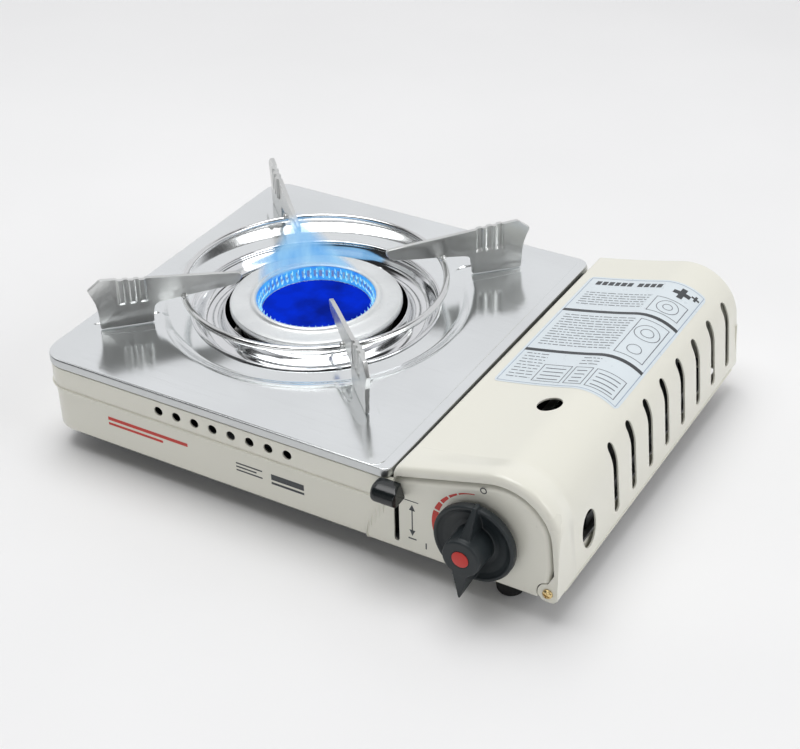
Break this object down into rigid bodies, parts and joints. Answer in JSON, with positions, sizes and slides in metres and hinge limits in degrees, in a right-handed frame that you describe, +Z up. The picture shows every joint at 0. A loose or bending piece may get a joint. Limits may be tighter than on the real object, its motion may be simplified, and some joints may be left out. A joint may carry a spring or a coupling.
{
  "type": "camping stove",
  "caption": "Flat portable single-burner gas stove: steel body, polished top plate with sunk burner, lift-off pan support, hinged canister lid, ignition knob and lock lever.",
  "frame": {"origin": "on the resting surface, below the centre of the whole stove's bounding box", "axes": "+X to the user's right along the front, +Y from front to back, +Z up; the front with the knob faces -Y"},
  "size_m": [0.343, 0.285, 0.0996],
  "materials": {
    "cream_paint": "glossy powder coat",
    "mirror_steel": "mirror-polished stainless sheet",
    "galvanised_steel": "dull galvanised sheet",
    "satin_stainless": "satin stainless, lightly tumbled",
    "burner_steel": "bead-blasted satin steel",
    "cast_aluminium": "die cast, matt",
    "brass": "plain turned brass",
    "zinc_screw": "bright zinc plated",
    "charcoal_plastic": "satin moulded, blue-black",
    "red_plastic": "moulded",
    "black_plastic": "moulded",
    "white_ceramic": "glazed",
    "wire_insulation": "smooth",
    "black_rubber": "matt"
  },
  "bodies": {
    "stove_body": {"base_pan": "galvanised_steel", "body_shell": "cream_paint", "top_plate": "mirror_steel", "drip_dish": "mirror_steel", "partition_wall": "galvanised_steel", "canister_rail_left": "galvanised_steel", "canister_rail_right": "galvanised_steel", "canister_guide_tab": "galvanised_steel", "burner_body": "cast_aluminium", "burner_bowl": "burner_steel", "port_ring": "burner_steel", "burner_cap": "burner_steel", "mixing_tube": "cast_aluminium", "injector_nozzle": "brass", "gas_tube": "brass", "burner_bracket": "galvanised_steel", "bracket_post_left": "galvanised_steel", "bracket_post_right": "galvanised_steel", "bracket_screw_left": "zinc_screw", "bracket_screw_right": "zinc_screw", "regulator_body": "cast_aluminium", "regulator_cover": "cast_aluminium", "igniter_housing": "black_plastic", "electrode_insulator": "white_ceramic", "electrode_rod": "zinc_screw", "igniter_wire": "wire_insulation", "foot_front_left": "black_rubber", "foot_front_right": "black_rubber", "foot_back_left": "black_rubber", "foot_back_right": "black_rubber"},
    "lid": {"lid_cover": "cream_paint", "hinge_screw_front": "brass", "hinge_screw_back": "brass"},
    "knob": {"knob_body": "charcoal_plastic", "knob_dot": "red_plastic", "valve_spindle": "brass", "igniter_cam": "galvanised_steel"},
    "plunger": {"igniter_plunger": "red_plastic"},
    "lever": {"lever_knob": "charcoal_plastic", "lever_arm": "galvanised_steel"},
    "lock_slide": {"lock_slide": "galvanised_steel"},
    "trivet": {"trivet_arm_1": "satin_stainless", "trivet_arm_2": "satin_stainless", "trivet_arm_3": "satin_stainless", "trivet_arm_4": "satin_stainless", "trivet_ring": "satin_stainless"}
  },
  "joints": [
    {"name": "lid_hinge", "type": "hinge", "parent": "stove_body", "child": "lid", "pos_m": [0.166, 0, 0.02], "axis": [0, 1, 0], "range_deg": [0, 100]},
    {"name": "knob_turn", "type": "hinge", "parent": "stove_body", "child": "knob", "pos_m": [0.126, -0.12, 0.0435], "axis": [0, -1, 0], "range_deg": [0, 125]},
    {"name": "plunger_press", "type": "slide", "parent": "stove_body", "child": "plunger", "axis": [0, 0, -1], "range_m": [0, 0.0051]},
    {"name": "lever_slide", "type": "slide", "parent": "stove_body", "child": "lever", "axis": [0, 0, -1], "range_m": [0, 0.029]},
    {"name": "lock_slide_push", "type": "slide", "parent": "stove_body", "child": "lock_slide", "axis": [0, -1, 0], "range_m": [0, 0.0061]},
    {"name": "trivet_lift", "type": "slide", "parent": "stove_body", "child": "trivet", "axis": [0, 0, 1], "range_m": [0, 0.06]}
  ],
  "couplings": [
    {"joint": "plunger_press", "follows": "knob_turn", "m_per_rad": 0.0022918},
    {"joint": "lock_slide_push", "follows": "lever_slide", "ratio": 0.2069}
  ]
}
